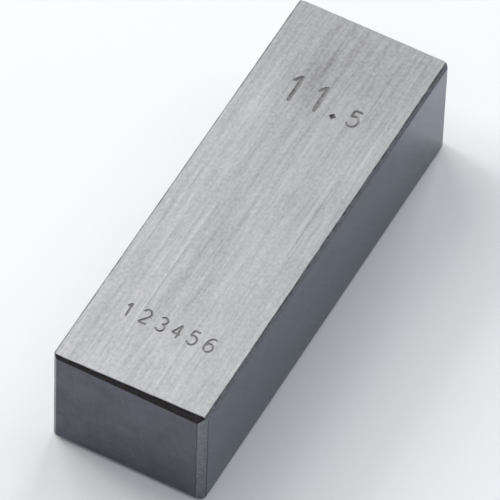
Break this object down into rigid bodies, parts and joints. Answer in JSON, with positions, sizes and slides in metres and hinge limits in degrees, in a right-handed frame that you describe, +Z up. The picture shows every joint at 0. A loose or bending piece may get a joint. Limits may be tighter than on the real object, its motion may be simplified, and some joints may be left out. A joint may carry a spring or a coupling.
{
  "type": "gauge block",
  "caption": "Rectangular hardened-steel length standard with opposite lapped measuring faces, broken edges and its nominal size engraved on a side face.",
  "frame": {"origin": "middle of the plain side face that the block rests on", "axes": "+X out of one measuring face, along the nominal length; +Y along the block's long side; +Z up, out of the marked side face"},
  "size_m": [0.0116, 0.035, 0.009],
  "materials": {
    "lapped_steel": "hardened tool steel: lengthwise-ground side faces, cross-ground end faces, lapped measuring faces, stoned edges"
  },
  "bodies": {
    "root": {"gauge_block": "lapped_steel"}
  },
  "joints": []
}
